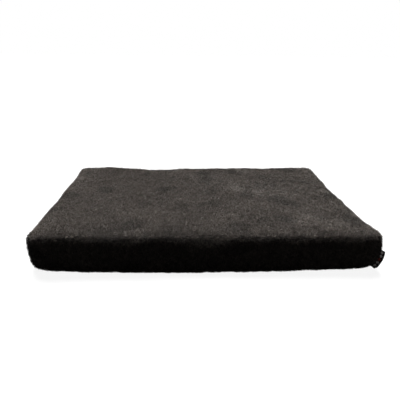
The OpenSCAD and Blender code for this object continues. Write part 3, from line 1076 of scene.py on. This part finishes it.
def label_face(s, z, layer):
    """Points of the folded label: s from the seam outwards, z up, layer 1 or -1 for its two sides."""
    out = np.array([1, -1, 0]) / math.sqrt(2)
    across = np.array([1, 1, 0]) / math.sqrt(2)
    up = (z - LABEL_LOW) / (LABEL_HIGH - LABEL_LOW)
    bend = 2.2 * MM * (s / LABEL_OUT) ** 2 * np.sin(up * 2.2 + 0.3)
    fold = np.clip(s - LABEL_OUT + LABEL_FOLD, 0, LABEL_FOLD)
    open_by = np.sqrt(np.maximum(LABEL_FOLD ** 2 - fold ** 2, 0))
    droop = (LABEL_HANG - (LABEL_HANG - LABEL_DROOP) * up) * s / LABEL_OUT
    face = corner_seam(z) + out * s[..., None] + across * (bend + layer * open_by)[..., None]
    face[..., 2] -= droop
    return face


def make_woven_label():
    s = np.concatenate([np.linspace(-LABEL_SEWN_IN, LABEL_OUT - LABEL_FOLD, 16),
                        LABEL_OUT - LABEL_FOLD * (1 - np.sin(np.linspace(0, math.pi / 2, 6)[1:]))])
    hairpin = np.concatenate([s, s[-2::-1]])
    layer = np.concatenate([-np.ones(len(s)), np.ones(len(s) - 1)])
    z = np.linspace(LABEL_LOW, LABEL_HIGH, 26)
    ss, zz = np.meshgrid(hairpin, z, indexing="ij")
    middle = label_face(ss, zz, layer[:, None])
    n = grid_normals(middle, np.array([1, 1, 0]) * layer[:, None, None] + 0 * middle)
    label = closed_sheet("woven_label_loop", middle + n * LABEL_CLOTH / 2, middle - n * LABEL_CLOTH / 2)
    finish_piece(label, "cushion", "label_satin", label_mat, replaces=["woven_label"])
    label_trim()


def label_trim():
    """Border stitches and a plain woven column of diamonds, on both sides of the label."""
    pieces = []
    proud = LABEL_CLOTH / 2
    for layer, side in ((-1, "front"), (1, "rear")):
        out = np.array([1, 1, 0]) / math.sqrt(2) * layer
        z = np.linspace(LABEL_LOW + 2 * MM, LABEL_HIGH - 2 * MM, 20)
        rows = [label_face(at + 0 * z, z, layer) + out * proud for at in (3 * MM, LABEL_OUT - 2 * MM)]
        pieces.append(stitches(f"woven_label_stitches_{side}", rows, out, 1.6 * MM, 2.2 * MM, 0.15 * MM,
                               "label_satin", motif_light_mat))
        for kind, spots, mat in (("light", (-2, -1, 1, 2), motif_light_mat), ("red", (0,), motif_red_mat)):
            points, faces = [], []
            for i in spots:
                centre_z = (LABEL_LOW + LABEL_HIGH) / 2 + i * 11 * MM
                for lift, size in ((0, 5.4 * MM), (0.25 * MM, 5.0 * MM)):
                    s = 12 * MM + size * np.array([0.8, 0, -0.8, 0])
                    zs = centre_z + size * np.array([0, 1, 0, -1])
                    points.append(label_face(s, zs, layer) + out * (proud + lift))
                b = len(faces) // 6 * 8
                order = [[3, 2, 1, 0], [4, 5, 6, 7], *ring_quads(2, 4).tolist()]
                faces += [[b + v for v in (f if layer > 0 else f[::-1])] for f in order]
            name = f"woven_label_motif_{kind}_{side}"
            motif = mesh_object(name, np.concatenate(points), np.array(faces), smooth=False)
            pieces.append(finish_piece(motif, "cushion", "label_satin", mat))
    return pieces


def make_care_label():
    """A blank white label, sewn along its upper edge to the inside of the back's lower strip."""
    low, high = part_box("care_label")
    x = np.linspace(low.x, high.x, 14)
    z = np.linspace(low.z, high.z, 10)
    xx, zz = np.meshgrid(x, z, indexing="ij")
    across, down = (xx - low.x) / (high.x - low.x), (high.z - zz) / (high.z - low.z)
    curl = 0.3 * MM * down ** 2 * np.sin(across * math.pi)
    face = np.stack([xx, high.y - curl, zz], axis=-1)
    label = closed_sheet("care_label_cloth", face, face - (0, 0.3 * MM, 0))
    finish_piece(label, "cushion", "care_cloth", care_mat, replaces=["care_label"])
    row = [(low.x + 2 * MM, low.y, high.z - 2 * MM), (high.x - 2 * MM, low.y, high.z - 2 * MM)]
    trim = stitches("care_label_stitches", [row], (0, -1, 0), 2 * MM, 2.6 * MM, 0.15 * MM, "care_cloth",
                    care_mat)


make_woven_label()
make_care_label()


# ---- floor, light and camera ----

FLOOR_SEEN = 0.1      # albedo that the camera sees
FLOOR_BOUNCE = 0.04   # albedo that lights the object
FLOOR_GLOW = 0.9      # what keeps the shadow faint
FLOOR_HALF = 30.0     # half of its side


def floor_material():
    """White with only a faint shadow to the camera, and throwing little light back up at the object."""
    m = bpy.data.materials.new("floor_white")
    m.use_nodes = True
    nodes, links = m.node_tree.nodes, m.node_tree.links
    shader = nodes["Principled BSDF"]
    shader.inputs["Roughness"].default_value = 0.9
    shader.inputs["Specular IOR Level"].default_value = 0.1
    path = nodes.new("ShaderNodeLightPath")
    share = nodes.new("ShaderNodeMapRange")
    share.inputs["To Min"].default_value = FLOOR_BOUNCE
    share.inputs["To Max"].default_value = FLOOR_SEEN
    links.new(path.outputs["Is Camera Ray"], share.inputs["Value"])
    links.new(share.outputs["Result"], shader.inputs["Base Color"])
    glow = nodes.new("ShaderNodeMapRange")
    glow.inputs["To Min"].default_value = 0
    glow.inputs["To Max"].default_value = FLOOR_GLOW
    links.new(path.outputs["Is Camera Ray"], glow.inputs["Value"])
    links.new(glow.outputs["Result"], shader.inputs["Emission Strength"])
    shader.inputs["Emission Color"].default_value = (1, 1, 1, 1)
    return m


def make_floor():
    corners = np.array([(-1, -1, 0), (1, -1, 0), (1, 1, 0), (-1, 1, 0)]) * FLOOR_HALF
    floor = mesh_object("floor", corners, np.array([[0, 1, 2, 3]]))
    floor.data.materials.append(floor_material())


def sun(name, towards, angle, strength):
    """A far, soft light. towards is the way that it shines, and angle how wide it looks, in degrees."""
    light = bpy.data.lights.new(name, "SUN")
    light.angle = math.radians(angle)
    light.energy = strength
    obj = bpy.data.objects.new(name, light)
    obj.rotation_euler = Vector(towards).to_track_quat("-Z", "Y").to_euler()
    bpy.context.scene.collection.objects.link(obj)


def make_world(seen, lighting):
    """A plain backdrop: what the camera sees of it, and the weaker glow that it gives."""
    world = bpy.data.worlds.new("studio")
    world.use_nodes = True
    nodes, links = world.node_tree.nodes, world.node_tree.links
    background = nodes["Background"]
    background.inputs["Color"].default_value = (1, 1, 1, 1)
    path = nodes.new("ShaderNodeLightPath")
    strength = nodes.new("ShaderNodeMapRange")
    strength.inputs["To Min"].default_value = lighting
    strength.inputs["To Max"].default_value = seen
    links.new(path.outputs["Is Camera Ray"], strength.inputs["Value"])
    links.new(strength.outputs["Result"], background.inputs["Strength"])
    bpy.context.scene.world = world


def make_camera(place, yaw, pitch, roll, lens):
    """yaw turns the view from +Y towards +X, pitch tips it down and roll turns the picture, in degrees."""
    yaw, pitch, roll = (math.radians(a) for a in (yaw, pitch, roll))
    level = np.array([math.sin(yaw), math.cos(yaw), 0])
    ahead = level * math.cos(pitch) - (0, 0, math.sin(pitch))
    flat_right = np.array([math.cos(yaw), -math.sin(yaw), 0])
    flat_up = np.cross(flat_right, ahead)
    right = math.cos(roll) * flat_right + math.sin(roll) * flat_up
    up = -math.sin(roll) * flat_right + math.cos(roll) * flat_up
    data = bpy.data.cameras.new("camera")
    data.lens, data.sensor_width, data.sensor_fit = lens, 36, "HORIZONTAL"
    data.clip_start, data.clip_end = 0.05, 60
    camera = bpy.data.objects.new("camera", data)
    matrix = np.eye(4)
    matrix[:3, 0], matrix[:3, 1], matrix[:3, 2], matrix[:3, 3] = right, up, -ahead, place
    camera.matrix_world = Matrix(matrix.tolist())
    bpy.context.scene.collection.objects.link(camera)
    bpy.context.scene.camera = camera


make_floor()
make_world(seen=1.0, lighting=0.032)
sun("key", (0.08, -0.75, -1), 52, 15.6)
make_camera((-0.0625, -1.3795, 0.6042), yaw=2.495, pitch=20.326, roll=0.72, lens=37.0)
bpy.context.scene.view_settings.view_transform = "Standard"
